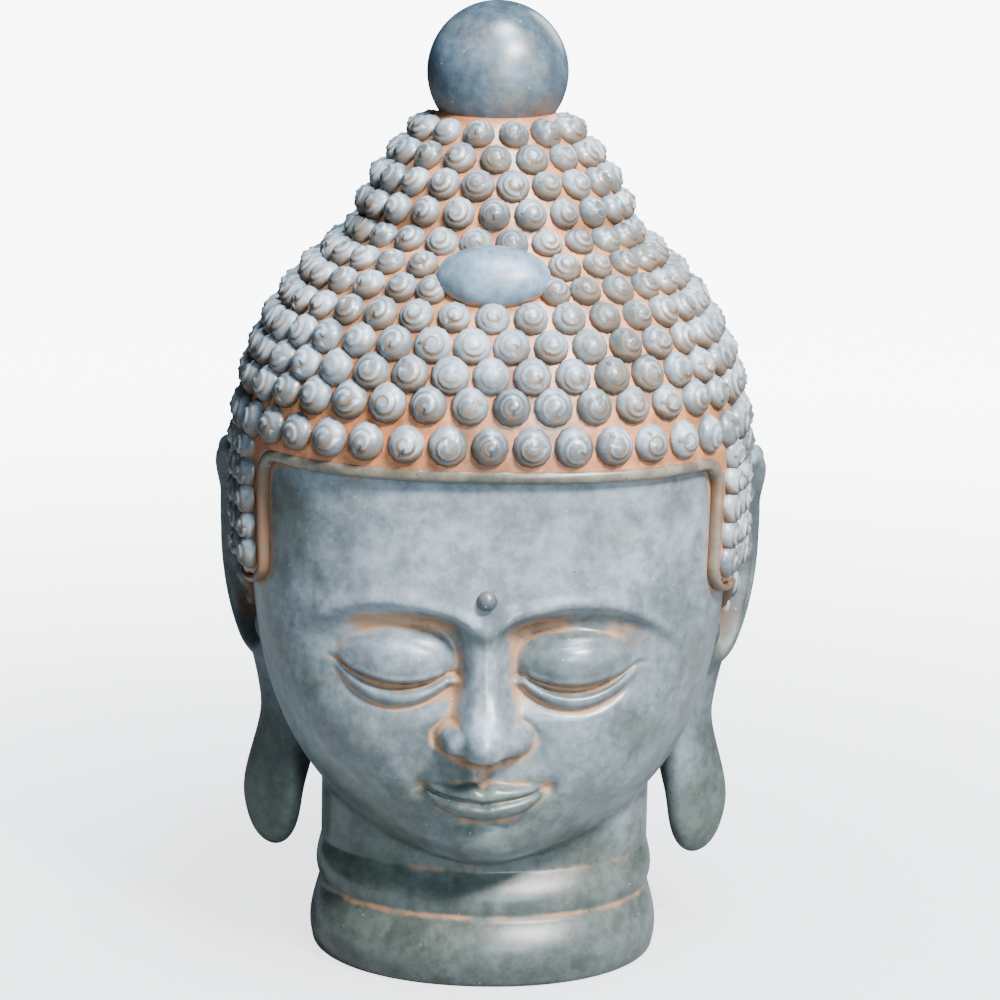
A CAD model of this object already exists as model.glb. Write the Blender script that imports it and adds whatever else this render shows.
import math

import bpy
import numpy as np
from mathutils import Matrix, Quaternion, Vector


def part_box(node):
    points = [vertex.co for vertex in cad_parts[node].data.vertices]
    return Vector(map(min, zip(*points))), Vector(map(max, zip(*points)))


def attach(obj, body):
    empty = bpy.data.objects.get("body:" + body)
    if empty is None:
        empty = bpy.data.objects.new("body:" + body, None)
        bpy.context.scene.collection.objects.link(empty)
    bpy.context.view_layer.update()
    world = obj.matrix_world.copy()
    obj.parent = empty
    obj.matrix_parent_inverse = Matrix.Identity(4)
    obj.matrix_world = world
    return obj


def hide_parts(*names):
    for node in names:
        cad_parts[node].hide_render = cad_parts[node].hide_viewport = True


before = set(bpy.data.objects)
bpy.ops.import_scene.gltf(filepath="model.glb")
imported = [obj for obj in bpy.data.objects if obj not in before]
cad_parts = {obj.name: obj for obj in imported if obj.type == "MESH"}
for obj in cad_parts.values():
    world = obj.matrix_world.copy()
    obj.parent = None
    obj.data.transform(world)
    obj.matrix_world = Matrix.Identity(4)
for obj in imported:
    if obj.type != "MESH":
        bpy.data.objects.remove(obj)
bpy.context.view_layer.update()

# The head is laid out in fingers, the sculptor's unit: 28 from the underside to the top of the ball, and a
# face is 12 of them from chin to hairline. Sizes are in millimetres and each mesh is brought to metres.
MM = 0.001
low_corner, high_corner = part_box("buddha_head")
HEIGHT = (high_corner.z - low_corner.z) / MM
FINGER = HEIGHT / 28
CHIN_Z = 3.5 * FINGER
HAIRLINE_Z = CHIN_Z + 12 * FINGER


# ------------------------------------------------------------------ studio
# A head stood at the edge of a lawn, seen by a standing person: a long lens a little above it, on a plain
# pale floor under a broad soft sky, with the stronger light from the right. The backdrop glows only as seen,
# so that it lights nothing.
CAMERA_DISTANCE = 3.2
CAMERA_HEIGHT_ANGLE = math.radians(12)
CAMERA_ROLL = math.radians(1.1)
LENS_LENGTH = 115.2
SENSOR_WIDTH = 36
PALE = (0.95, 0.97, 1.0, 1)
BACKDROP_GLOW = 9.0
GLOW_BY_THE_HEAD = 2.4
GLOW_FADE = 3.5
STRAY_LIGHT = 0.05
FLOOR_SIZE = 120

aim = Vector((0.010, 0.0, 0.48 * HEIGHT * MM))
away = Vector((0.0, -math.cos(CAMERA_HEIGHT_ANGLE), math.sin(CAMERA_HEIGHT_ANGLE)))
camera_data = bpy.data.cameras.new("camera")
camera_data.lens = LENS_LENGTH
camera_data.sensor_width = SENSOR_WIDTH
camera = bpy.data.objects.new("camera", camera_data)
camera.location = aim + CAMERA_DISTANCE * away
camera.rotation_euler = ((-away).to_track_quat("-Z", "Y") @ Quaternion((0, 0, 1), CAMERA_ROLL)).to_euler()
bpy.context.scene.collection.objects.link(camera)
bpy.context.scene.camera = camera


def soft_light(name, place, size, watts, colour):
    light = bpy.data.lights.new(name, "AREA")
    light.shape = "DISK"
    light.size = size
    light.energy = watts
    light.color = colour
    lamp = bpy.data.objects.new(name, light)
    lamp.location = place
    lamp.rotation_euler = (aim - Vector(place)).to_track_quat("-Z", "Y").to_euler()
    bpy.context.scene.collection.objects.link(lamp)


soft_light("sky_front_right", (1.45, -2.3, 3.0), 0.8, 590, (1.0, 0.975, 0.94))
soft_light("sky_above", (0.5, -0.8, 3.5), 1.2, 340, (0.58, 0.80, 1.0))
soft_light("sky_front", (0.9, -3.2, 1.4), 0.8, 120, (0.60, 0.82, 1.0))
soft_light("sky_behind", (1.8, 2.8, 2.2), 1.8, 50, (0.85, 0.95, 1.0))

world = bpy.data.worlds.new("overcast")
world.use_nodes = True
sky = world.node_tree
seen = sky.nodes.new("ShaderNodeLightPath").outputs["Is Camera Ray"]
brightness = sky.nodes.new("ShaderNodeMapRange")
brightness.inputs["To Min"].default_value = STRAY_LIGHT
brightness.inputs["To Max"].default_value = BACKDROP_GLOW
sky.links.new(seen, brightness.inputs["Value"])
sky.nodes["Background"].inputs["Color"].default_value = PALE
sky.links.new(brightness.outputs["Result"], sky.nodes["Background"].inputs["Strength"])
bpy.context.scene.world = world

bpy.ops.mesh.primitive_plane_add(size=FLOOR_SIZE, location=(0, 0, 0))
floor = bpy.context.object
floor.name = "floor"
paper = bpy.data.materials.new("pale_floor")
paper.use_nodes = True
ground = paper.node_tree
paper_shader = ground.nodes["Principled BSDF"]
paper_shader.inputs["Base Color"].default_value = (0.20, 0.205, 0.21, 1)
paper_shader.inputs["Emission Color"].default_value = PALE
paper_shader.inputs["Roughness"].default_value = 0.9
distance = ground.nodes.new("ShaderNodeVectorMath")
distance.operation = "LENGTH"
glow = ground.nodes.new("ShaderNodeMapRange")
glow.interpolation_type = "SMOOTHSTEP"
glow.inputs["From Max"].default_value = GLOW_FADE
glow.inputs["To Min"].default_value = GLOW_BY_THE_HEAD
glow.inputs["To Max"].default_value = BACKDROP_GLOW
camera_only = ground.nodes.new("ShaderNodeMath")
camera_only.operation = "MULTIPLY"
ground.links.new(ground.nodes.new("ShaderNodeTexCoord").outputs["Object"], distance.inputs[0])
ground.links.new(distance.outputs["Value"], glow.inputs["Value"])
ground.links.new(glow.outputs["Result"], camera_only.inputs[0])
ground.links.new(ground.nodes.new("ShaderNodeLightPath").outputs["Is Camera Ray"], camera_only.inputs[1])
ground.links.new(camera_only.outputs[0], paper_shader.inputs["Emission Strength"])
floor.data.materials.append(paper)


# ------------------------------------------------------------------ neck and face
# The skin of the casting, from the flat cut below the throat to under the hair. It is a full egg on a round
# neck, and the features are worked on it as relief along the line of sight. Both sides are alike.
BROW_Z = HAIRLINE_Z - 4 * FINGER
NOSE_BASE_Z = HAIRLINE_Z - 8 * FINGER
EYE_Z = BROW_Z - 1.5 * FINGER
MOUTH_Z = NOSE_BASE_Z - 1.3 * FINGER
EYE_X = 2.65 * FINGER
EYE_HALF = 1.55 * FINGER
LIP_HALF = 1.7 * FINGER
NOSE_TIP_Z = NOSE_BASE_Z + 0.5 * FINGER

HEAD_HALF_WIDTH = 7 * FINGER
FOREHEAD_DEPTH = 222
CHIN_DEPTH = 198
SKULL_BACK = 288
EGG_WIDEST_Z = HAIRLINE_Z - 0.8 * FINGER
EGG_BOTTOM_Z = CHIN_Z - 8
DOME_Z = 520
DOME_HEIGHT = 242

NECK_HALF_WIDTH = 166
NECK_FRONT = 152
THROAT_FRONT = 126
NECK_BACK = 172
THROAT_CREASE_Z = 66
SKIN_TOP_Z = HAIRLINE_Z + 16
CASTING_SOFTNESS = 1.8


def mix(a, b, t):
    return a + (b - a) * t


def ease(start, end, v):
    t = np.clip((v - start) / (end - start), 0, 1)
    return t * t * (3 - 2 * t)


def bell(v, width):
    return np.exp(-((v / width) ** 2))


def smooth_max(a, b, blend):
    h = np.maximum(blend - np.abs(a - b), 0) / blend
    return np.maximum(a, b) + h * h * blend / 4


def dome_shape(x, z):
    """1 in the middle of the unit circle, falling round to 0 at its edge."""
    return np.sqrt(np.clip(1 - x**2 - z**2, 0, 1))


def section_radius(angle, side, front, back, roundness):
    s = np.abs(np.sin(angle)) / side
    c = np.abs(np.cos(angle)) / np.where(np.cos(angle) > 0, front, back)
    return (s**roundness + c**roundness) ** (-1 / roundness)


def egg(z, widest, bottom, power, root):
    t = np.clip((widest - z) / (widest - bottom), 0, 0.9999)
    return (1 - t**power) ** (1 / root)


def skull_dome(z):
    return np.sqrt(1 - np.clip((z - DOME_Z) / DOME_HEIGHT, 0, 0.9999) ** 2)


def head_radius(angle, z):
    roof = skull_dome(z)
    side = HEAD_HALF_WIDTH * egg(z, EGG_WIDEST_Z, EGG_BOTTOM_Z, 3.2, 2.1) * roof
    depth = mix(CHIN_DEPTH, FOREHEAD_DEPTH, np.clip((z - CHIN_Z) / (HAIRLINE_Z - CHIN_Z), 0, 1))
    front = depth * egg(z, HAIRLINE_Z, EGG_BOTTOM_Z, 14, 2.5) * roof
    back = SKULL_BACK * egg(z, DOME_Z, 60, 2.2, 2) * roof
    return section_radius(angle, side, front, back, mix(2.0, 2.35, ease(CHIN_Z, EYE_Z, z)))


def neck_radius(angle, z):
    lower = 4 + 10 * np.sin(math.pi * np.clip(z / THROAT_CREASE_Z, 0, 1))
    upper = 9 * np.sin(math.pi * np.clip((z - THROAT_CREASE_Z) / 44, 0, 1))
    roll = np.where(z < THROAT_CREASE_Z, lower, upper) * ease(-0.5, 0.6, np.cos(angle))
    foot = 5 * (1 - np.clip(z / THROAT_CREASE_Z, 0, 1))
    front = mix(NECK_FRONT, THROAT_FRONT, ease(30, CHIN_Z + 10, z))
    return section_radius(angle, NECK_HALF_WIDTH + foot, front, NECK_BACK, 2.1) + roll


def brow_z(x):
    """Height of the brow's edge: an even arch that springs from the root of the nose."""
    peak = 2.9 * FINGER
    inner = 24 * (np.clip(peak - x, 0, None) / peak) ** 2.2
    outer = 36 * (np.clip(x - peak, 0, None) / (2.4 * FINGER)) ** 1.9
    return BROW_Z + 8 - inner - outer


def nose(x, z):
    down = np.clip((BROW_Z - z) / (BROW_Z - NOSE_TIP_Z), 0, 1)
    root = bell(z - BROW_Z + 4, 20)
    height = mix(5, 42, down**1.15)
    crest, foot = mix(6, 9, down) + 9 * root, mix(27, 36, down) + 10 * root
    ridge = height * ease(foot, crest, x) * ease(BROW_Z + 30, BROW_Z - 16, z)
    tip = 55 - 34 * ((x / 24) ** 2 + ((z - NOSE_TIP_Z) / 25) ** 2)
    wing = 30 - 24 * (((x - 0.78 * FINGER) / 16) ** 2 + ((z - NOSE_BASE_Z - 14) / 15) ** 2) ** 1.3
    body = smooth_max(smooth_max(ridge, tip, 18), wing, 20)
    under = ease(NOSE_BASE_Z - 6, NOSE_BASE_Z + 7, z + 3 * bell(x, 12))
    away = np.hypot((x - 0.8 * FINGER) / 23, (z - NOSE_BASE_Z - 14) / 20) - 1
    crease = 1.8 * bell(away, 0.14) * ease(8, 22, x - 0.8 * FINGER + 10)
    crease = crease * ease(NOSE_BASE_Z, NOSE_BASE_Z + 12, z)
    return body * under - crease


def eye(x, z):
    across = (x - EYE_X) / EYE_HALF
    inside = np.clip(1 - across**2, 0, 1)
    under_brow = ease(2, -20, z - brow_z(x))
    above_cheek = ease(EYE_Z - 56, EYE_Z - 10, z)
    depth = 21 * bell(x - 1.2 * FINGER, 38) + 13 * bell(x - 3.3 * FINGER, 66)
    socket = -depth * under_brow * above_cheek
    lid = 8 - 20 * ((across / 1.02) ** 2 + ((z - EYE_Z - 1) / (0.88 * FINGER)) ** 2) ** 1.25
    form = smooth_max(socket, lid, 4)
    margin = EYE_Z - 8 - 10 * inside + 4 * across
    gap = 10 * inside**0.75
    open_eye = ease(margin + 1.5, margin - 1.5, z) * ease(margin - gap - 1.5, margin - gap + 1.5, z)
    open_eye = open_eye * ease(0, 0.12, inside)
    iris_away = np.hypot(x - EYE_X, z - margin + 3)
    iris = 1.2 * bell(iris_away - 12, 1.8) + 1.6 * bell(iris_away, 4)
    lashes = 2.2 * bell(z - margin - 3.5, 3) * ease(0, 0.2, inside)
    below = margin - gap
    lower_lid = 3 - 13 * ((across / 1.04) ** 2 + ((z - below + 5) / 11) ** 2) ** 1.3
    form = smooth_max(form, np.where(z < margin - 0.5 * gap, lower_lid, -40), 4)
    fold = 2.2 * bell(z - below + 17 - 4 * (1 - inside), 3.5) * ease(1.1, 0.6, np.abs(across))
    upper_fold = 2.0 * bell(z - EYE_Z - 4 - 19 * inside**0.6, 2.6) * ease(1.1, 0.7, np.abs(across))
    corner = 3.5 * bell(z - margin + 0.5 * gap, 3)
    corner = corner * ease(0.82, 0.98, np.abs(across)) * ease(1.3, 1.05, np.abs(across))
    return form - (5.5 + iris) * open_eye + lashes - corner - fold - upper_fold


def mouth(x, z):
    along = np.clip(x / LIP_HALF, 0, 1)
    line = MOUTH_Z + 8 * along**2.2 - 2 * bell(x, 10)
    taper = (1 - along**2.2) ** 0.6
    upper_thick = 14 * (1 - along**1.8) ** 0.7 + 2 * bell(x - 10, 8) - 1.5 * bell(x, 5) + 1
    lower_thick = 19 * (1 - along**2.6) ** 0.7 + 1
    upper = 12 * taper * dome_shape(0, (z - line - 0.42 * upper_thick) / (0.62 * upper_thick)) ** 0.8
    lower = 15 * taper * dome_shape(0, (line - z - 0.42 * lower_thick) / (0.62 * lower_thick)) ** 0.8
    lips = np.where(z > line, upper, lower)
    mound = 15 * bell(x, 62) * bell(z - MOUTH_Z - 2, 40)
    parting = 5 * bell(z - line, 2.8) * ease(LIP_HALF + 6, LIP_HALF - 4, x)
    corner = 7 * bell(np.hypot(x - LIP_HALF - 4, z - MOUTH_Z - 9), 9)
    cheek_fold = 3.5 * bell(np.hypot((x - LIP_HALF - 19) / 13, (z - MOUTH_Z - 8) / 20), 1)
    groove = 3.4 * bell(x, 6) * ease(MOUTH_Z + 12, MOUTH_Z + 24, z) * ease(NOSE_BASE_Z + 4, NOSE_BASE_Z - 8, z)
    return mound + lips * (x < LIP_HALF) - parting - corner + cheek_fold - groove


def chin_and_cheeks(x, z):
    chin = 18 * bell(x, 44) * bell(z - CHIN_Z - 30, 28)
    below_lip = 8 * bell(x, 40) * bell(z - CHIN_Z - 66, 10)
    cheek = 11 * bell(x - 3.5 * FINGER, 62) * bell(z - NOSE_BASE_Z - 12, 64)
    return chin - below_lip + cheek


def brow(x, z):
    return 4 * bell(z - brow_z(x) - 3, 9) * ease(6.3 * FINGER, 4.4 * FINGER, x) * ease(4, 24, x)


def worked_face(across, z):
    x = np.abs(across)
    relief = nose(x, z) + eye(x, z) + mouth(x, z) + chin_and_cheeks(x, z) + brow(x, z)
    return relief * ease(6.5 * FINGER, 5.3 * FINGER, x) * ease(CHIN_Z - 14, CHIN_Z + 6, z)


def rubbed_face(x, z, reach):
    """The worked face with every edge rubbed down over the reach given, as casting softens it."""
    turns = np.linspace(0, 2 * math.pi, 8, endpoint=False)
    ring = sum(worked_face(x + reach * math.cos(t), z + reach * math.sin(t)) for t in turns)
    inner = sum(worked_face(x + 0.5 * reach * math.cos(t), z + 0.5 * reach * math.sin(t)) for t in turns[::2])
    return (ring + inner + worked_face(x, z)) / 13


def face_relief(x, z):
    return rubbed_face(x, z, CASTING_SOFTNESS)


def skin_points(angle, z):
    radius = smooth_max(head_radius(angle, z), neck_radius(angle, z), 14)
    x = radius * np.sin(angle)
    relief = np.where(np.cos(angle) > 0.1, face_relief(x, z), 0) * ease(0.1, 0.4, np.cos(angle))
    return x, -radius * np.cos(angle) - relief, z


CAP_THICKNESS = 9
TEMPLE_Y = -115
SIDEBURN_Z = HAIRLINE_Z - 3.5 * FINGER
NAPE_Z = 190


def hair_edge():
    """The hair's edge on the right half, as angles and heights: over the forehead, down the temple, under
    the sideburn, behind the ear and round the nape."""
    turn = np.linspace(0, math.pi, 721)

    def angle_where(y, z):
        return np.interp(y, -head_radius(turn, z) * np.cos(turn), turn)

    temple = angle_where(TEMPLE_Y, HAIRLINE_Z - 30)
    stations = [(0, HAIRLINE_Z), (angle_where(TEMPLE_Y - 16, HAIRLINE_Z), HAIRLINE_Z),
                (temple, HAIRLINE_Z - 20), (angle_where(TEMPLE_Y, SIDEBURN_Z), SIDEBURN_Z)]
    for y, z in ((-96, SIDEBURN_Z - 14), (-25, SIDEBURN_Z - 22), (35, SIDEBURN_Z - 60), (70, NAPE_Z)):
        stations.append((angle_where(y, z), z))
    stations.append((math.pi, NAPE_Z))
    along, height = np.array(stations).T
    along = along * HEAD_HALF_WIDTH
    walked = np.concatenate([[0], np.cumsum(np.hypot(np.diff(along), np.diff(height)))])
    even = np.arange(0, walked[-1], 2.0)
    along, height = np.interp(even, walked, along), np.interp(even, walked, height)
    for _ in range(2):
        soft = np.ones(11) / 11
        along = np.convolve(np.pad(along, 5, "reflect", reflect_type="odd"), soft, "valid")
        height = np.convolve(np.pad(height, 5, "edge"), soft, "valid")
    return along / HEAD_HALF_WIDTH, height


edge_angle, edge_z = hair_edge()


def on_surface(radius, angle, z):
    return np.stack([radius * np.sin(angle), -radius * np.cos(angle), z], axis=-1)


def distance_to_hair_edge(x, y, z):
    """From places on the head, either side alike, to the nearest point of the hair's edge."""
    line = on_surface(head_radius(edge_angle, edge_z), edge_angle, edge_z)
    nearest = np.full(x.shape, 1e6)
    for point in line:
        nearest = np.minimum(nearest, (np.abs(x) - point[0]) ** 2 + (y - point[1]) ** 2 + (z - point[2]) ** 2)
    return np.sqrt(nearest)


def face_recess(x, z, reach):
    """How far a place lies below the stone around it: where dirt and rust wash settle."""
    return rubbed_face(x, z, reach) - rubbed_face(x, z, 0.3 * reach)


def spans(*parts):
    """Levels through (start, end, step) stretches that follow on from one another."""
    levels = [np.arange(start, end, step) for start, end, step in parts]
    return np.concatenate(levels + [[parts[-1][1]]])


def closed_shell(name, x, y, z, attributes):
    """A mesh over rows of points that go round the upright axis, closed flat below and above."""
    rows, columns = x.shape
    verts = np.stack([x, y, z], axis=-1).reshape(-1, 3) * MM
    here = np.arange(rows * columns).reshape(rows, columns)
    right = np.roll(here, -1, axis=1)
    quads = np.stack([here[:-1], right[:-1], right[1:], here[1:]], axis=-1).reshape(-1, 4)
    faces = quads.tolist() + [here[0][::-1].tolist(), here[-1].tolist()]
    mesh = bpy.data.meshes.new(name)
    mesh.from_pydata(verts.tolist(), [], faces)
    for attribute, values in attributes.items():
        layer = mesh.attributes.new(attribute, "FLOAT", "POINT")
        layer.data.foreach_set("value", np.broadcast_to(values, x.shape).reshape(-1).astype(np.float32))
    mesh.shade_smooth()
    return mesh


def cast_piece(name, mesh, material):
    """A finished piece of the one casting, standing in for its CAD solid."""
    piece = bpy.data.objects.new(name, mesh)
    mesh.materials.clear()
    mesh.materials.append(material)
    bpy.context.scene.collection.objects.link(piece)
    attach(piece, "root")
    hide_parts("buddha_head")
    return piece


def node(tree, kind, inputs=None, **settings):
    made = tree.nodes.new(kind)
    for key, value in settings.items():
        setattr(made, key, value)
    for key, value in (inputs or {}).items():
        if isinstance(value, bpy.types.NodeSocket):
            tree.links.new(value, made.inputs[key])
        else:
            made.inputs[key].default_value = value
    return made


def mix_colour(tree, factor, first, second, blend="MIX"):
    mixer = node(tree, "ShaderNodeMix", {0: factor, 6: first, 7: second}, data_type="RGBA", blend_type=blend)
    return mixer.outputs[2]


def map_range(tree, value, from_low, from_high, to_low=0.0, to_high=1.0):
    ranges = {"Value": value, "From Min": from_low, "From Max": from_high, "To Min": to_low, "To Max": to_high}
    return node(tree, "ShaderNodeMapRange", ranges, interpolation_type="SMOOTHSTEP").outputs["Result"]


def maths(tree, operation, a, b=0.0):
    return node(tree, "ShaderNodeMath", {0: a, 1: b}, operation=operation).outputs[0]


def noise(tree, where, scale, detail=4.0, roughness=0.55):
    settings = {"Vector": where, "Scale": scale, "Detail": detail, "Roughness": roughness}
    return node(tree, "ShaderNodeTexNoise", settings).outputs["Fac"]


def weathered_wash():
    """Node group: slate wash over cast stone, worn pale on what stands out, with moss, ochre and rust."""
    tree = bpy.data.node_groups.new("weathered_wash", "ShaderNodeTree")
    sockets = tree.interface
    for name, value in (("Slate", (0.062, 0.077, 0.076, 1)), ("Worn", (0.185, 0.216, 0.244, 1)),
                        ("Moss", (0.056, 0.069, 0.052, 1)), ("Ochre", (0.21, 0.18, 0.125, 1)),
                        ("Rust", (0.29, 0.155, 0.08, 1)), ("Grime", (0.08, 0.06, 0.04, 1))):
        sockets.new_socket(name, in_out="INPUT", socket_type="NodeSocketColor").default_value = value
    for name, value in (("Recess", 0.0), ("Tone", 0.5), ("Patch Scale", 5.0), ("Rust Reach", 1.0)):
        sockets.new_socket(name, in_out="INPUT", socket_type="NodeSocketFloat").default_value = value
    sockets.new_socket("Color", in_out="OUTPUT", socket_type="NodeSocketColor")
    sockets.new_socket("Roughness", in_out="OUTPUT", socket_type="NodeSocketFloat")
    sockets.new_socket("Height", in_out="OUTPUT", socket_type="NodeSocketFloat")
    given = node(tree, "NodeGroupInput").outputs
    place = node(tree, "ShaderNodeTexCoord").outputs["Object"]

    patches = noise(tree, place, given["Patch Scale"], 5.0, 0.6)
    rubbed = maths(tree, "MULTIPLY", maths(tree, "MINIMUM", given["Recess"], 0.0), -0.22)
    worn = maths(tree, "ADD", maths(tree, "ADD", patches, maths(tree, "MULTIPLY", given["Tone"], 0.25)), rubbed)
    worn = map_range(tree, worn, 0.42, 0.88)
    colour = mix_colour(tree, worn, given["Slate"], given["Worn"])

    upright = node(tree, "ShaderNodeSeparateXYZ", {0: place}).outputs["Z"]
    low = map_range(tree, upright, 0.36, 0.02, 0.0, 0.24)
    mossy = map_range(tree, maths(tree, "ADD", noise(tree, place, 8.0, 6.0, 0.68), low), 0.5, 0.7)
    colour = mix_colour(tree, maths(tree, "MULTIPLY", mossy, 0.75), colour, given["Moss"])
    mottle = map_range(tree, noise(tree, place, 27.0, 6.0, 0.7), 0.36, 0.64, 0.72, 1.28)
    mottle = maths(tree, "MULTIPLY", mottle, map_range(tree, upright, 0.04, 0.24, 0.76, 1.0))
    blotch = node(tree, "ShaderNodeCombineColor", {0: mottle, 1: mottle, 2: mottle}).outputs[0]
    colour = mix_colour(tree, 1.0, colour, blotch, "MULTIPLY")
    ochre_place = node(tree, "ShaderNodeMapping", {"Vector": place, "Location": (3.1, 1.7, 0.4)}).outputs[0]
    tan = map_range(tree, noise(tree, ochre_place, 13.0, 7.0, 0.7), 0.54, 0.8)
    colour = mix_colour(tree, maths(tree, "MULTIPLY", tan, 0.45), colour, given["Ochre"])

    grain = noise(tree, place, 90.0, 5.0, 0.65)
    shade = map_range(tree, grain, 0.3, 0.7, 0.82, 1.18)
    grey = node(tree, "ShaderNodeCombineColor", {0: shade, 1: shade, 2: shade}).outputs[0]
    colour = mix_colour(tree, 1.0, colour, grey, "MULTIPLY")

    torn = maths(tree, "MULTIPLY", map_range(tree, noise(tree, place, 45.0, 5.0, 0.6), 0.3, 0.7, 0.5, 1.35),
                 map_range(tree, noise(tree, ochre_place, 14.0, 3.0, 0.5), 0.36, 0.6, 0.45, 1.15))
    ragged = maths(tree, "MULTIPLY", torn, given["Recess"])
    rusty = map_range(tree, maths(tree, "MULTIPLY", ragged, given["Rust Reach"]), 0.12, 0.75)
    colour = mix_colour(tree, rusty, colour, given["Rust"])
    deep = map_range(tree, ragged, 0.75, 1.35)
    colour = mix_colour(tree, maths(tree, "MULTIPLY", deep, 0.75), colour, given["Grime"])

    speck_cells = node(tree, "ShaderNodeTexVoronoi", {"Vector": place, "Scale": 95.0, "Randomness": 1.0})
    rare = map_range(tree, node(tree, "ShaderNodeSeparateColor", {0: speck_cells.outputs["Color"]}).outputs[0],
                     0.80, 0.82)
    speck = maths(tree, "MULTIPLY", map_range(tree, speck_cells.outputs["Distance"], 0.11, 0.04), rare)
    colour = mix_colour(tree, maths(tree, "MULTIPLY", speck, 0.45), colour, (0.62, 0.62, 0.58, 1))
    hole_cells = node(tree, "ShaderNodeTexVoronoi", {"Vector": ochre_place, "Scale": 55.0, "Randomness": 1.0})
    few = map_range(tree, node(tree, "ShaderNodeSeparateColor", {0: hole_cells.outputs["Color"]}).outputs[1],
                    0.90, 0.92)
    pinhole = maths(tree, "MULTIPLY", map_range(tree, hole_cells.outputs["Distance"], 0.09, 0.05), few)
    colour = mix_colour(tree, maths(tree, "MULTIPLY", pinhole, 0.7), colour, given["Grime"])

    rough = map_range(tree, patches, 0.3, 0.7, 0.26, 0.42)
    rough = maths(tree, "ADD", rough, maths(tree, "MULTIPLY", rusty, 0.3))
    skin = maths(tree, "MULTIPLY", grain, 0.5)
    broad = maths(tree, "MULTIPLY", noise(tree, place, 22.0, 3.0, 0.5), 0.9)
    height = maths(tree, "SUBTRACT", maths(tree, "ADD", skin, broad), maths(tree, "MULTIPLY", pinhole, 1.6))
    outputs = {"Color": colour, "Roughness": rough, "Height": height}
    node(tree, "NodeGroupOutput", outputs)
    return tree


wash_group = weathered_wash()


def washed_stone(name, bump=0.35, colours=None, numbers=None, matte=0.0, toned=False):
    """A cast stone finish: the shared wash, read at this piece's own recess attribute, and tone where it has
    one."""
    material = bpy.data.materials.new(name)
    material.use_nodes = True
    tree = material.node_tree
    shader = tree.nodes["Principled BSDF"]
    wash = tree.nodes.new("ShaderNodeGroup")
    wash.node_tree = wash_group
    recess = node(tree, "ShaderNodeAttribute", attribute_name="recess")
    tree.links.new(recess.outputs["Fac"], wash.inputs["Recess"])
    for key, colour in (colours or {}).items():
        wash.inputs[key].default_value = (*colour, 1)
    for key, value in (numbers or {}).items():
        wash.inputs[key].default_value = value
    if toned:
        tone = node(tree, "ShaderNodeAttribute", attribute_name="tone")
        tree.links.new(tone.outputs["Fac"], wash.inputs["Tone"])
    height = wash.outputs["Height"]
    relief = node(tree, "ShaderNodeBump", {"Strength": bump, "Distance": 0.0012, "Height": height})
    tree.links.new(wash.outputs["Color"], shader.inputs["Base Color"])
    tree.links.new(maths(tree, "ADD", wash.outputs["Roughness"], matte), shader.inputs["Roughness"])
    tree.links.new(relief.outputs["Normal"], shader.inputs["Normal"])
    return material


face_finish = washed_stone("washed_stone_face")

FACE_SWEEP = math.radians(106)
front_u = np.linspace(-1, 1, 300)
front_angles = FACE_SWEEP * (0.5 * front_u + 0.5 * front_u**3)
back_angles = np.linspace(FACE_SWEEP, 2 * math.pi - FACE_SWEEP, 32)[1:-1]
skin_angles = np.concatenate([front_angles, back_angles])
skin_levels = spans((0, 8, 1.6), (8, CHIN_Z - 20, 5), (CHIN_Z - 20, BROW_Z + 18, 1.3),
                    (BROW_Z + 18, SKIN_TOP_Z, 5))
angle_grid, level_grid = np.meshgrid(skin_angles, skin_levels)
skin_x, skin_y, skin_z = skin_points(angle_grid, level_grid)
edge = 1 - 0.02 * (1 - np.clip(level_grid / 5, 0, 1)) ** 2
skin_x, skin_y = skin_x * edge, skin_y * edge
on_face = ease(0.1, 0.4, np.cos(angle_grid)) * ease(CHIN_Z - 10, CHIN_Z + 10, level_grid)
recess = on_face * (face_recess(skin_x, skin_z, 6) / 4.5 + face_recess(skin_x, skin_z, 16) / 9)
throat = sum(neck_radius(angle_grid, level_grid + d) for d in (-7, 7)) / 2 - neck_radius(angle_grid, level_grid)
recess = recess + np.clip(throat / 7, 0, 1) * (level_grid < CHIN_Z)
recess = np.clip(recess, 0, 0.95) + 1.5 * bell(distance_to_hair_edge(skin_x, skin_y, skin_z), 9)
high_forehead = bell(skin_x, 95) * ease(BROW_Z + 12, BROW_Z + 50, level_grid)
high_chin = bell(skin_x, 60) * bell(level_grid - CHIN_Z - 34, 26)
recess = recess - 0.9 * (high_forehead + high_chin) * on_face
skin_mesh = closed_shell("face_and_neck", skin_x, skin_y, skin_z, {"recess": recess})
cast_piece("face_and_neck", skin_mesh, face_finish)


# ------------------------------------------------------------------ cap under the curls
# The hair is a thick skin over the skull, rising to a bun on the crown. It is cast with the head and ends in
# a plain rounded hem along the forehead, down the temples and round the nape.
BUN_Z = 725
BUN_HALF_WIDTH = 133
BUN_FRONT = 125
BUN_BACK = 142
BUN_RISE = 168
BALL_RADIUS = 69
HEM_HALF_WIDTH = 6.0
HEM_HALF_HEIGHT = 6.5
UNDER_FACE = -48.0
BALL_Z = HEIGHT - BALL_RADIUS


def cap_radius(angle, z):
    nape = np.where(z < DOME_Z, neck_radius(angle, np.minimum(z, DOME_Z)), 0)
    skull = np.maximum(head_radius(angle, z), nape) + CAP_THICKNESS
    size = np.clip(1 - np.clip((z - BUN_Z) / BUN_RISE, 0, 1) ** 1.65, 0.02, 1)
    bun = section_radius(angle, BUN_HALF_WIDTH * size, BUN_FRONT * size, BUN_BACK * size, 2)
    return np.where(z < BUN_Z - 45, skull, smooth_max(skull, bun, 14))


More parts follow.
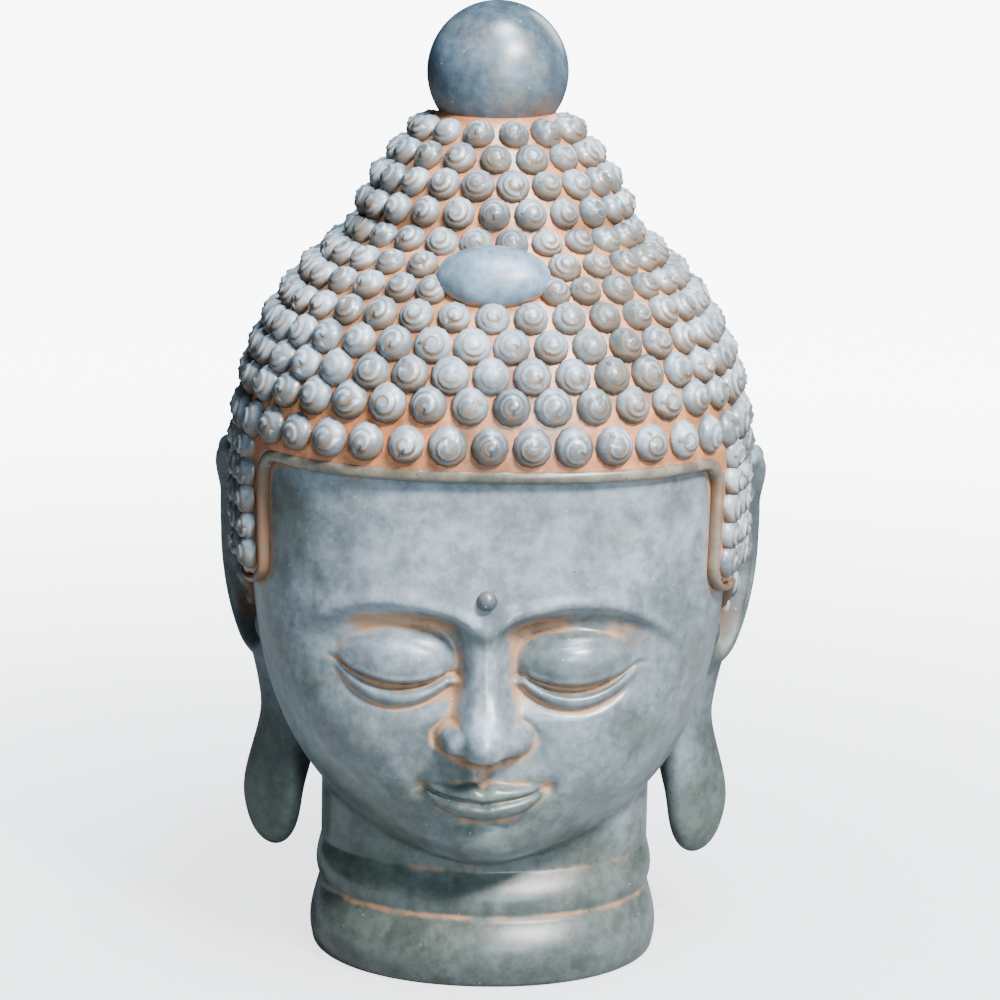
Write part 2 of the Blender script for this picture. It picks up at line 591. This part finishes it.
def cap_place(angle, z, out):
    """A place on the cap raised square to it, and the outward and uphill directions there."""
    slope = (cap_radius(angle, z + 1) - cap_radius(angle, z - 1)) / 2
    bend = (cap_radius(angle + 0.01, z) - cap_radius(angle - 0.01, z)) / 0.02 / cap_radius(angle, z)
    radial = np.stack([np.sin(angle), -np.cos(angle), np.zeros_like(angle)], axis=-1)
    sideways = np.stack([np.cos(angle), np.sin(angle), np.zeros_like(angle)], axis=-1)
    upward = np.array([0.0, 0.0, 1.0])
    outward = radial - bend[..., None] * sideways - slope[..., None] * upward
    outward /= np.linalg.norm(outward, axis=-1, keepdims=True)
    uphill = upward - outward * outward[..., 2:3]
    uphill /= np.linalg.norm(uphill, axis=-1, keepdims=True) + 1e-9
    place = on_surface(cap_radius(angle, z), angle, z) + out[..., None] * outward
    return place, outward, uphill


hair_colours = {
    "Slate": (0.27, 0.094, 0.037), "Worn": (0.42, 0.17, 0.078), "Moss": (0.17, 0.09, 0.045),
    "Ochre": (0.32, 0.15, 0.068), "Rust": (0.16, 0.05, 0.018), "Grime": (0.06, 0.026, 0.016),
}
cap_finish = washed_stone("terracotta_wash", 0.5, hair_colours)

cap_angles = np.linspace(-math.pi, math.pi, 300, endpoint=False)
cap_levels = spans((NAPE_Z - 6, HAIRLINE_Z - 20, 6), (HAIRLINE_Z - 20, HAIRLINE_Z + 16, 2.2),
                   (HAIRLINE_Z + 16, BALL_Z - 34, 4))
angle_grid, level_grid = np.meshgrid(cap_angles, cap_levels)
edge_away = distance_to_hair_edge(*np.moveaxis(
    on_surface(head_radius(angle_grid, level_grid), angle_grid, level_grid), -1, 0))
edge_level = np.interp(np.abs(angle_grid), edge_angle, edge_z)
lifted = ease(-3, 3, np.where(level_grid > edge_level, edge_away, -edge_away))
cap_x, cap_y, cap_z = np.moveaxis(cap_place(angle_grid, level_grid, mix(UNDER_FACE, 0.0, lifted))[0], -1, 0)
cap_mesh = closed_shell("hair_cap", cap_x, cap_y, cap_z, {"recess": np.full(cap_x.shape, 0.15)})
cast_piece("hair_cap", cap_mesh, cap_finish)


def hem(half_width, half_height):
    """The rolled edge of the hair, swept right round the head and narrower down the temples."""
    angle = np.concatenate([edge_angle, -edge_angle[-2:0:-1]])
    z = np.concatenate([edge_z, edge_z[-2:0:-1]])
    place, outward, _ = cap_place(angle, z, np.full(angle.shape, -0.65 * half_height))
    ahead = np.roll(place, -1, axis=0) - np.roll(place, 1, axis=0)
    ahead /= np.linalg.norm(ahead, axis=-1, keepdims=True)
    across = np.cross(ahead, outward)
    turns = np.linspace(0, 2 * math.pi, 12, endpoint=False)
    squarish = (np.abs(np.cos(turns)) ** 3 + np.abs(np.sin(turns)) ** 3) ** (-1 / 3)
    slim = 1 - 0.35 * ease(HAIRLINE_Z, SIDEBURN_Z + 10, z)
    wide = slim[:, None] * half_width * squarish * np.cos(turns)
    high = half_height * squarish * np.sin(turns)
    rings = place[:, None] + wide[..., None] * across[:, None] + high[None, :, None] * outward[:, None]
    count, sides = rings.shape[:2]
    here = np.arange(count * sides).reshape(count, sides)
    ahead_row = np.roll(here, -1, axis=0)
    quads = np.stack([here, ahead_row, np.roll(ahead_row, -1, axis=1), np.roll(here, -1, axis=1)], axis=-1)
    mesh = bpy.data.meshes.new("hair_hem")
    mesh.from_pydata((rings.reshape(-1, 3) * MM).tolist(), [], quads.reshape(-1, 4).tolist())
    layer = mesh.attributes.new("recess", "FLOAT", "POINT")
    low = np.clip(0.5 - 0.8 * np.sin(turns), 0, 1) + 0.6 * np.clip(-np.cos(turns), 0, 1)
    low = low + 0.7 * ease(HAIRLINE_Z - 4, HAIRLINE_Z - 26, z)[:, None]
    layer.data.foreach_set("value", low.reshape(-1).astype(np.float32))
    mesh.shade_smooth()
    return mesh


hem_finish = washed_stone("washed_hem", 0.4, {
    "Slate": (0.08, 0.066, 0.046), "Worn": (0.18, 0.152, 0.115), "Rust": (0.13, 0.058, 0.026),
})
cast_piece("hair_hem", hem(HEM_HALF_WIDTH, HEM_HALF_HEIGHT), hem_finish)


# ------------------------------------------------------------------ jewel, ball and brow dot
# Plain smooth bosses of the same casting: an oval jewel set among the curls above the forehead, the ball on
# top of the bun, and the round dot above the bridge of the nose.
JEWEL_PLACE = cap_place(np.zeros(1), np.full(1, 701.0), np.full(1, 3.0))[0][0]
JEWEL_TILT = math.radians(48)
JEWEL_HALF = (54, 33, 25)
BALL_FOOT_Z = BALL_Z - 52


def turned_rings(profile, columns):
    """Points of a turned shape from rows of (radius, height)."""
    turn = np.linspace(0, 2 * math.pi, columns, endpoint=False)
    r, z = (np.array(v)[:, None] for v in zip(*profile))
    return r * np.sin(turn), -r * np.cos(turn), z + 0 * turn


def dot_place():
    z = BROW_Z + 0.45 * FINGER
    return np.array([0.0, -head_radius(np.zeros(1), np.full(1, z))[0] - 3.5, z])


boss_finish = washed_stone("washed_boss", 0.35, {
    "Slate": (0.028, 0.038, 0.046), "Worn": (0.07, 0.098, 0.13), "Rust": (0.11, 0.062, 0.035),
}, {"Patch Scale": 7.0, "Rust Reach": 1.2})

low = np.linspace(0.0, 1.0, 90)
polar = math.pi * (0.78 - 0.775 * low)
ball_r, ball_rise = BALL_RADIUS * np.sin(polar), BALL_RADIUS * np.cos(polar)
ball_x, ball_y, ball_z = turned_rings(list(zip(ball_r, BALL_Z + ball_rise)), 150)
around_foot = bell(ball_z - BALL_FOOT_Z, 7) * 1.1 + 0.5 * ease(BALL_Z + 10, BALL_FOOT_Z, ball_z)
ball_mesh = closed_shell("crown_ball", ball_x, ball_y, ball_z, {"recess": around_foot})
cast_piece("crown_ball", ball_mesh, boss_finish)

rise = np.linspace(-0.45, 0.995, 50) * math.pi / 2
lens_r, lens_z = np.cos(rise) ** 0.9, np.sin(rise)
flat_x, flat_y, flat_z = turned_rings(list(zip(lens_r, lens_z)), 120)
long_way, short_way, up = (size * v for size, v in zip(JEWEL_HALF, (flat_x, flat_y, flat_z)))
jewel_y = JEWEL_PLACE[1] + short_way * math.sin(JEWEL_TILT) - up * math.cos(JEWEL_TILT)
jewel_z = JEWEL_PLACE[2] + short_way * math.cos(JEWEL_TILT) + up * math.sin(JEWEL_TILT)
jewel_recess = 1.0 * bell(flat_z + 0.15, 0.22)
jewel_mesh = closed_shell("forehead_jewel", long_way, jewel_y, jewel_z, {"recess": jewel_recess})
cast_piece("forehead_jewel", jewel_mesh,
           washed_stone("washed_jewel", 0.3, {"Slate": (0.07, 0.10, 0.13), "Worn": (0.135, 0.185, 0.24)}))

rise = np.linspace(-0.3, 0.99, 18) * math.pi / 2
dot_x, dot_y, dot_z = turned_rings(list(zip(9.5 * np.cos(rise), 9 * np.sin(rise))), 40)
dot_centre = dot_place()
cast_piece("brow_dot", closed_shell("brow_dot", dot_x, dot_centre[1] - dot_z, dot_centre[2] + dot_y,
                                    {"recess": 0.9 * bell(dot_z, 2.5)}), boss_finish)


# ------------------------------------------------------------------ ears
# Long ears, alike on both sides: a rolled rim from the top down to the cheek, an inner fold and hollow, and
# a full smooth lobe hanging clear of the jaw with a web of stone behind it.
EAR_BOTTOM_Z = 88
EAR_TOP_Z = 513


def ear_points(s, t):
    """The ear's outer face at s from its front edge, -1, to its back edge, 1, and t up from the lobe; then
    how far the hollow lies below the rim there. Turning s past 1 goes on round the inner face."""
    end = np.sqrt(np.clip(1 - np.abs(2 * t - 1) ** 7, 0, 1))
    upper, lobe = ease(0.3, 0.75, t), ease(0.36, 0.1, t)
    x = 209 + 28 * upper + 9 * lobe + 22 * ease(0.84, 1.0, t)
    y = 24 + 6 * upper - 4 * lobe
    turn = np.radians(33 + 8 * lobe)
    half = (33 + 22 * upper + 12 * lobe) * end
    thick = (13 - upper + 7 * lobe) * end
    outer = np.abs(s) <= 1
    where = np.where(outer, s, np.where(s > 1, 2 - s, -2 - s))
    side = thick * (1 - np.abs(where) ** 2.6) ** 0.5
    from_middle = np.hypot(where, (t - 0.73) / 0.27)
    rim = 12 * bell(from_middle - 0.9, 0.13) * ease(0.26, 0.56, t + 0.08 * ease(0.2, -0.8, where))
    fold = 8 * bell(np.hypot((where + 0.05) / 0.6, (t - 0.68) / 0.18) - 1, 0.2) * ease(-0.45, 0.15, where)
    hollow = 17 * bell(where + 0.1, 0.36) * bell(t - 0.6, 0.11)
    hollow = hollow + 5 * bell(where - 0.1, 0.3) * bell(t - 0.84, 0.07)
    flap = 9 * bell(where + 0.72, 0.22) * bell(t - 0.56, 0.06)
    carved = (rim + fold + flap - hollow) * (1 - np.abs(where) ** 8) * end
    web = 34 * bell(t - 0.36, 0.2) * (1 - where**2) * ease(0.1, 0.2, t)
    out = np.where(outer, side + carved, -side - web)
    x = x + half * where * np.sin(turn) + out * np.cos(turn)
    y = y + half * where * np.cos(turn) - out * np.sin(turn)
    low = np.where(outer, hollow / 26 + 0.5 * bell(from_middle - 0.62, 0.12) * ease(0.42, 0.55, t), 0.15)
    return x, y, mix(EAR_BOTTOM_Z, EAR_TOP_Z, t), low


ear_finish = washed_stone("washed_ears", 0.35, {
    "Slate": (0.034, 0.044, 0.045), "Worn": (0.11, 0.135, 0.148), "Rust": (0.075, 0.052, 0.036),
}, matte=0.25)
ear_walk = np.concatenate([np.linspace(-1, 1, 68), np.linspace(1, 3, 46)[1:-1]])
ear_walk = np.where(ear_walk > 2, ear_walk - 4, ear_walk)
ear_rise = 0.5 - 0.5 * np.cos(math.pi * np.linspace(0.02, 0.98, 190))
walk_grid, rise_grid = np.meshgrid(ear_walk, ear_rise)
ear_x, ear_y, ear_z, ear_low = ear_points(walk_grid, rise_grid)
for name, hand in (("ear_left", 1), ("ear_right", -1)):
    step = slice(None, None, hand)
    low = {"recess": ear_low[:, step]}
    shell = closed_shell(name, hand * ear_x[:, step], ear_y[:, step], ear_z[:, step], low)
    cast_piece(name, shell, ear_finish)


# ------------------------------------------------------------------ curls
# Hundreds of snail-shell curls stand on the cap in staggered rows, each a small dome wound by one fine groove.
# Brown dirt lies on their lower sides, and the slate wash is rubbed off between them to terracotta.
CURL_RADIUS = 18.4
CURL_HEIGHT = 15.5
CURL_PITCH = 39
ROW_PITCH = 28.5
SIDE_ROW_PITCH = 26.5
FIRST_ROW_Z = HAIRLINE_Z + 27.5
CURL_SIDES = 12
CURL_TURNS = 0.9
CURL_KINDS = 6
LOWER_SIDE_DIRT = 1.1


def curl_mesh(name, start_turn):
    """One curl of unit radius and unit height. Its groove winds clockwise from the shoulder to the tip."""
    steps = round(CURL_SIDES * CURL_TURNS)
    radial = 2 * math.pi / CURL_SIDES

    def outline(turn):
        return 1 + 0.1 * max(0.0, math.sin(turn)) ** 3

    def dome(r):
        return (1 - min(r, 1) ** 2) ** 0.66

    verts, recess = [], []

    def add(r, turn, height, hollow):
        hollow = hollow - LOWER_SIDE_DIRT * r * math.sin(turn)
        reach = r * outline(turn)
        verts.append((reach * math.cos(turn), reach * math.sin(turn) - 0.06 * height, height))
        recess.append(hollow)
        return len(verts) - 1

    def turn_at(i):
        return start_turn - i * radial

    def groove_r(i):
        return 0.74 - 0.58 * i / (steps + CURL_SIDES)

    foot = [add(0.99, turn_at(i), -0.35, 1.5) for i in range(CURL_SIDES)]
    skirt = [add(0.97, turn_at(i), 0.24, 0.6) for i in range(CURL_SIDES)]
    shoulder = [add(mix(0.97, groove_r(i), 0.6), turn_at(i), dome(mix(0.97, groove_r(i), 0.6)) + 0.02, -0.35)
                for i in range(CURL_SIDES)]
    groove, crest = [], []
    for i in range(steps + CURL_SIDES + 1):
        sharp = min(1, i / 3, (steps + CURL_SIDES - i) / 6)
        groove.append(add(groove_r(i), turn_at(i), dome(groove_r(i)) - 0.07 * sharp, mix(-0.4, 1.1, sharp)))
    for i in range(steps + 1):
        r = mix(groove_r(i), groove_r(i + CURL_SIDES), 0.3)
        crest.append(add(r, turn_at(i), dome(r) + 0.04 * min(1, (steps + 1 - i) / 5), -1.2))
    tip = add(0.0, 0.0, 1.07, -1.0)
    faces = [foot, (shoulder[0], groove[CURL_SIDES], crest[0], groove[0])]
    for low_ring, high_ring in ((foot, skirt), (skirt, shoulder), (shoulder, groove)):
        for i in range(CURL_SIDES):
            j = (i + 1) % CURL_SIDES
            above = high_ring[i + 1 if high_ring is groove else j]
            faces.append((low_ring[i], high_ring[i], above, low_ring[j]))
    for i in range(steps):
        faces.append((groove[i], crest[i], crest[i + 1], groove[i + 1]))
        faces.append((crest[i], groove[i + CURL_SIDES], groove[i + 1 + CURL_SIDES], crest[i + 1]))
    last = groove[steps:]
    faces.append((last[0], crest[steps], last[-1], tip))
    for i in range(CURL_SIDES):
        faces.append((last[i], tip, last[i + 1]))
    mesh = bpy.data.meshes.new(name)
    mesh.from_pydata(verts, [], [tuple(f) for f in faces])
    mesh.validate()
    mesh.attributes.new("recess", "FLOAT", "POINT").data.foreach_set("value", recess)
    mesh.shade_smooth()
    return mesh


def ring_walk(z):
    """Angles against distance walked round the cap at height z, from the middle of the forehead."""
    turn = np.linspace(0, math.pi, 361)
    line = on_surface(cap_radius(turn, np.full(turn.shape, z)), turn, np.full(turn.shape, z))
    walked = np.concatenate([[0], np.cumsum(np.linalg.norm(np.diff(line, axis=0), axis=1))])
    return turn, walked, line[:, 1]


def crown_rows():
    """Rows from the hairline to the ball, by even steps up the front of the cap."""
    rows = [FIRST_ROW_Z]
    heights = np.arange(FIRST_ROW_Z, BALL_Z, 0.5)
    front = cap_radius(np.zeros(heights.shape), heights)
    walked = np.concatenate([[0], np.cumsum(np.hypot(np.diff(front), 0.5))])
    place = 1.3 * ROW_PITCH
    while np.interp(place, walked, heights) < BALL_Z - 50:
        rows.append(float(np.interp(place, walked, heights)))
        place += ROW_PITCH
    return rows


def full_row(z, offset, pitch):
    turn, walked, _ = ring_walk(z)
    count = round(2 * walked[-1] / pitch)
    return [np.interp(abs(s), walked, turn) * (1 if s > 0 else -1)
            for s in ((i + offset) * 2 * walked[-1] / count - walked[-1] * (count // 2 * 2 / count)
                      for i in range(count))]


def side_row(z, odd):
    """Down the temples the curls line up along the hem, and behind the ears they are staggered."""
    turn, walked, y = ring_walk(z)
    found = []
    if z > SIDEBURN_Z:
        start = np.interp(TEMPLE_Y, y, walked) + 0.5 * CURL_PITCH
        found += [start + i * 0.88 * CURL_PITCH + (7 if odd and i else 0) for i in range(20)]
        found = [s for s in found if np.interp(s, walked, y) < (6 if z < HAIRLINE_Z - 22 else 60)]
    behind = [walked[-1] - (i + 0.5 * odd) * 0.95 * CURL_PITCH for i in range(30)]
    clear = found[-1] + 0.7 * CURL_PITCH if found and z > HAIRLINE_Z - 22 else 0
    found += [s for s in behind if s > clear and np.interp(s, walked, y) > (34 if z < HAIRLINE_Z - 22 else -60)]
    angles = np.interp(found, walked, turn)
    return [a for a in angles] + [-a for a in angles if a < math.pi - 0.01]


def curl_points(name, rows):
    """The places of the curls: bare points that carry the outward and uphill directions and the girth. Those
    under the jewel are left out, and those at its ends are moved up to its edge."""
    angle = np.array([a for _, angles, _ in rows for a in angles])
    z = np.array([z for z, angles, _ in rows for _ in angles])
    girth = np.array([g for _, angles, g in rows for _ in angles])
    sunk = np.full(angle.shape, -1.0)
    off = (cap_place(angle, z, sunk)[0] - JEWEL_PLACE) / (JEWEL_HALF[0] + 9, 1e3, 27)
    away = np.hypot(off[:, 0], off[:, 2] * np.where(off[:, 2] > 0, 1.25, 1)) + 9 * (off[:, 1] > 0.2)
    place, outward, uphill = cap_place(angle * (1 + np.clip(1.27 - 1.2 * away, 0, 0.12)), z, sunk)
    clear = away > 0.85
    place, outward, uphill, girth = place[clear], outward[clear], uphill[clear], girth[clear]
    mesh = bpy.data.meshes.new(name)
    mesh.from_pydata((place * MM).tolist(), [], [])
    for attribute, values in (("outward", outward), ("uphill", uphill)):
        mesh.attributes.new(attribute, "FLOAT_VECTOR", "POINT").data.foreach_set("vector", values.reshape(-1))
    mesh.attributes.new("girth", "FLOAT", "POINT").data.foreach_set("value", girth * MM)
    points = bpy.data.objects.new(name, mesh)
    bpy.context.scene.collection.objects.link(points)
    return points


def curl_tree(kinds):
    """Geometry nodes: a curl on every point, square to the cap, each a little different in size and turn."""
    tree = bpy.data.node_groups.new("curls_on_cap", "GeometryNodeTree")
    sockets = tree.interface
    sockets.new_socket("Geometry", in_out="INPUT", socket_type="NodeSocketGeometry")
    sockets.new_socket("Height", in_out="INPUT", socket_type="NodeSocketFloat")
    sockets.new_socket("Size Spread", in_out="INPUT", socket_type="NodeSocketFloat")
    sockets.new_socket("Turn Spread", in_out="INPUT", socket_type="NodeSocketFloat")
    sockets.new_socket("Seed", in_out="INPUT", socket_type="NodeSocketInt")
    sockets.new_socket("Finish", in_out="INPUT", socket_type="NodeSocketMaterial")
    sockets.new_socket("Geometry", in_out="OUTPUT", socket_type="NodeSocketGeometry")
    given = node(tree, "NodeGroupInput").outputs

    def random(low, high, salt, data_type="FLOAT"):
        seed = node(tree, "ShaderNodeMath", {0: given["Seed"], 1: float(salt)}, operation="ADD").outputs[0]
        inputs = {"Seed": seed}
        picker = node(tree, "FunctionNodeRandomValue", inputs, data_type=data_type)
        numbered = {"FLOAT": (2, 3), "INT": (4, 5)}[data_type]
        for socket, value in zip(numbered, (low, high)):
            if isinstance(value, bpy.types.NodeSocket):
                tree.links.new(value, picker.inputs[socket])
            else:
                picker.inputs[socket].default_value = value
        return picker.outputs[{"FLOAT": 1, "INT": 2}[data_type]]

    def named(name, data_type):
        return node(tree, "GeometryNodeInputNamedAttribute", {"Name": name}, data_type=data_type).outputs[0]

    joined = tree.nodes.new("GeometryNodeGeometryToInstance")
    for kind in kinds:
        shape = node(tree, "GeometryNodeObjectInfo", {"Object": kind}).outputs["Geometry"]
        tree.links.new(shape, joined.inputs[0])
    upright = node(tree, "FunctionNodeAxesToRotation",
                   {0: named("outward", "FLOAT_VECTOR"), 1: named("uphill", "FLOAT_VECTOR")},
                   primary_axis="Z", secondary_axis="Y").outputs[0]
    least = node(tree, "ShaderNodeMath", {0: 0.0, 1: given["Turn Spread"]}, operation="SUBTRACT").outputs[0]
    lean = [random(least, given["Turn Spread"], salt) for salt in (1, 2, 3)]
    jitter = node(tree, "ShaderNodeCombineXYZ", {0: lean[0], 1: lean[1], 2: lean[2]}).outputs[0]
    leaning = node(tree, "FunctionNodeRotateRotation", {0: upright, 1: jitter}, rotation_space="LOCAL")
    smallest = node(tree, "ShaderNodeMath", {0: 1.0, 1: given["Size Spread"]}, operation="SUBTRACT").outputs[0]
    largest = node(tree, "ShaderNodeMath", {0: 1.0, 1: given["Size Spread"]}, operation="ADD").outputs[0]
    wide = node(tree, "ShaderNodeMath", {0: named("girth", "FLOAT"), 1: random(smallest, largest, 4)},
                operation="MULTIPLY").outputs[0]
    tall = node(tree, "ShaderNodeMath", {0: given["Height"], 1: random(smallest, largest, 5)},
                operation="MULTIPLY").outputs[0]
    scale = node(tree, "ShaderNodeCombineXYZ", {0: wide, 1: wide, 2: tall}).outputs[0]
    placed = node(tree, "GeometryNodeInstanceOnPoints", {
        "Points": given["Geometry"], "Instance": joined.outputs[0], "Pick Instance": True,
        "Instance Index": random(0, len(kinds) - 1, 6, "INT"), "Rotation": leaning.outputs[0], "Scale": scale,
    }).outputs[0]
    toned = node(tree, "GeometryNodeStoreNamedAttribute", {"Geometry": placed, "Name": "tone"},
                 data_type="FLOAT", domain="INSTANCE")
    tree.links.new(random(0.0, 1.0, 7), toned.inputs["Value"])
    real = node(tree, "GeometryNodeRealizeInstances", {0: toned.outputs[0]}).outputs[0]
    finished = node(tree, "GeometryNodeSetMaterial", {"Geometry": real, "Material": given["Finish"]}).outputs[0]
    node(tree, "NodeGroupOutput", {"Geometry": finished})
    return tree


def grow_curls(name, rows, tree, finish, seed):
    points = curl_points(name, rows)
    grower = points.modifiers.new("curls", "NODES")
    grower.node_group = tree
    by_name = {item.name: item.identifier for item in tree.interface.items_tree if item.in_out == "INPUT"}
    grower[by_name["Height"]] = CURL_HEIGHT * MM
    grower[by_name["Size Spread"]] = 0.05
    grower[by_name["Turn Spread"]] = 0.09
    grower[by_name["Seed"]] = seed
    grower[by_name["Finish"]] = finish
    seen = points.evaluated_get(bpy.context.evaluated_depsgraph_get())
    mesh = bpy.data.meshes.new_from_object(seen)
    bpy.data.objects.remove(points)
    mesh.name = name
    mesh.shade_smooth()
    return cast_piece(name, mesh, finish)


curl_colours = {
    "Slate": (0.062, 0.070, 0.075), "Worn": (0.215, 0.236, 0.258), "Moss": (0.07, 0.068, 0.052),
    "Ochre": (0.18, 0.125, 0.075), "Rust": (0.125, 0.075, 0.042), "Grime": (0.04, 0.028, 0.019),
}
curl_finish = washed_stone("washed_curls", 0.3, curl_colours, {"Patch Scale": 9.0}, toned=True)
curl_kinds = []
for kind in range(CURL_KINDS):
    kind_name = f"curl_kind_{kind}"
    pattern = bpy.data.objects.new(kind_name, curl_mesh(kind_name, 2 * math.pi * kind / CURL_KINDS))
    bpy.context.scene.collection.objects.link(pattern)
    curl_kinds.append(pattern)
curls_on_cap = curl_tree(curl_kinds)

crown, bun = [], []
for number, row_z in enumerate(crown_rows()):
    pitch = CURL_PITCH * mix(1.0, 0.87, ease(HAIRLINE_Z + 60, BUN_Z, row_z))
    row = (row_z, full_row(row_z, 0.5 * (number % 2), pitch), CURL_RADIUS * pitch / CURL_PITCH)
    (bun if row_z > BUN_Z - 5 else crown).append(row)
sides = []
row_z, number = FIRST_ROW_Z - SIDE_ROW_PITCH, 1
while row_z > NAPE_Z + 12:
    sides.append((row_z, side_row(row_z, number % 2), 0.92 * CURL_RADIUS))
    row_z, number = row_z - SIDE_ROW_PITCH, number + 1
grow_curls("bun_curls", bun, curls_on_cap, curl_finish, 11)
grow_curls("crown_curls", crown, curls_on_cap, curl_finish, 12)
grow_curls("side_curls", sides, curls_on_cap, curl_finish, 13)
for pattern in curl_kinds:
    bpy.data.objects.remove(pattern)
